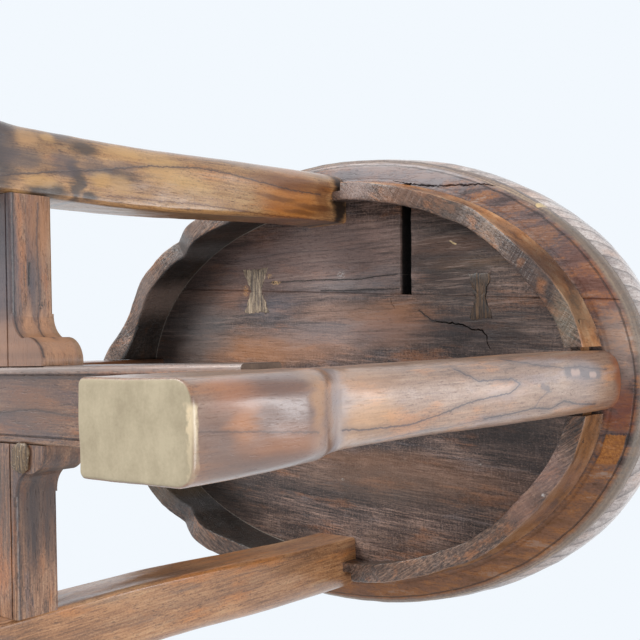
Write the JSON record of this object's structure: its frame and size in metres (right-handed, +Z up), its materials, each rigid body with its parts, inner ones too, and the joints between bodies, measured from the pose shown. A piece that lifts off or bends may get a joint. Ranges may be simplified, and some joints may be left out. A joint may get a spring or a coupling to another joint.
{
  "type": "oval stool",
  "caption": "Low oval wooden stool with a thick rounded seat, bowed scalloped aprons, square legs with crowned feet, and a low half-lapped cross stretcher with a carved hub.",
  "frame": {"origin": "on the floor, under the centre of the oval seat", "axes": "+Z up, X along the seat's long axis, -Y toward the front; the slot in the seat's underside lies on the +X, -Y side"},
  "size_m": [0.525, 0.357, 0.43],
  "materials": {
    "seat_wood": "oiled hardwood, pale, with dark figure",
    "board_wood": "rough-sawn hardwood, stained and aged",
    "apron_wood": "worked hardwood, tool-marked, worn arrises",
    "leg_wood": "oiled and polished hardwood with dark blue-grey figure",
    "stretcher_wood": "oiled hardwood, worn",
    "key_wood": "coarse pale end fibres",
    "shim_wood": "rough split wood"
  },
  "bodies": {
    "root": {"seat_slab": "seat_wood", "seat_board_wide": "board_wood", "seat_board_narrow": "board_wood", "butterfly_key_left": "key_wood", "butterfly_key_right": "key_wood", "leg_right": "leg_wood", "leg_front": "leg_wood", "leg_left": "leg_wood", "leg_back": "leg_wood", "apron_front_right": "apron_wood", "apron_back_right": "apron_wood", "apron_front_left": "apron_wood", "apron_back_left": "apron_wood", "stretcher_long": "stretcher_wood", "stretcher_short": "stretcher_wood", "crossing_shim": "shim_wood"}
  },
  "joints": []
}
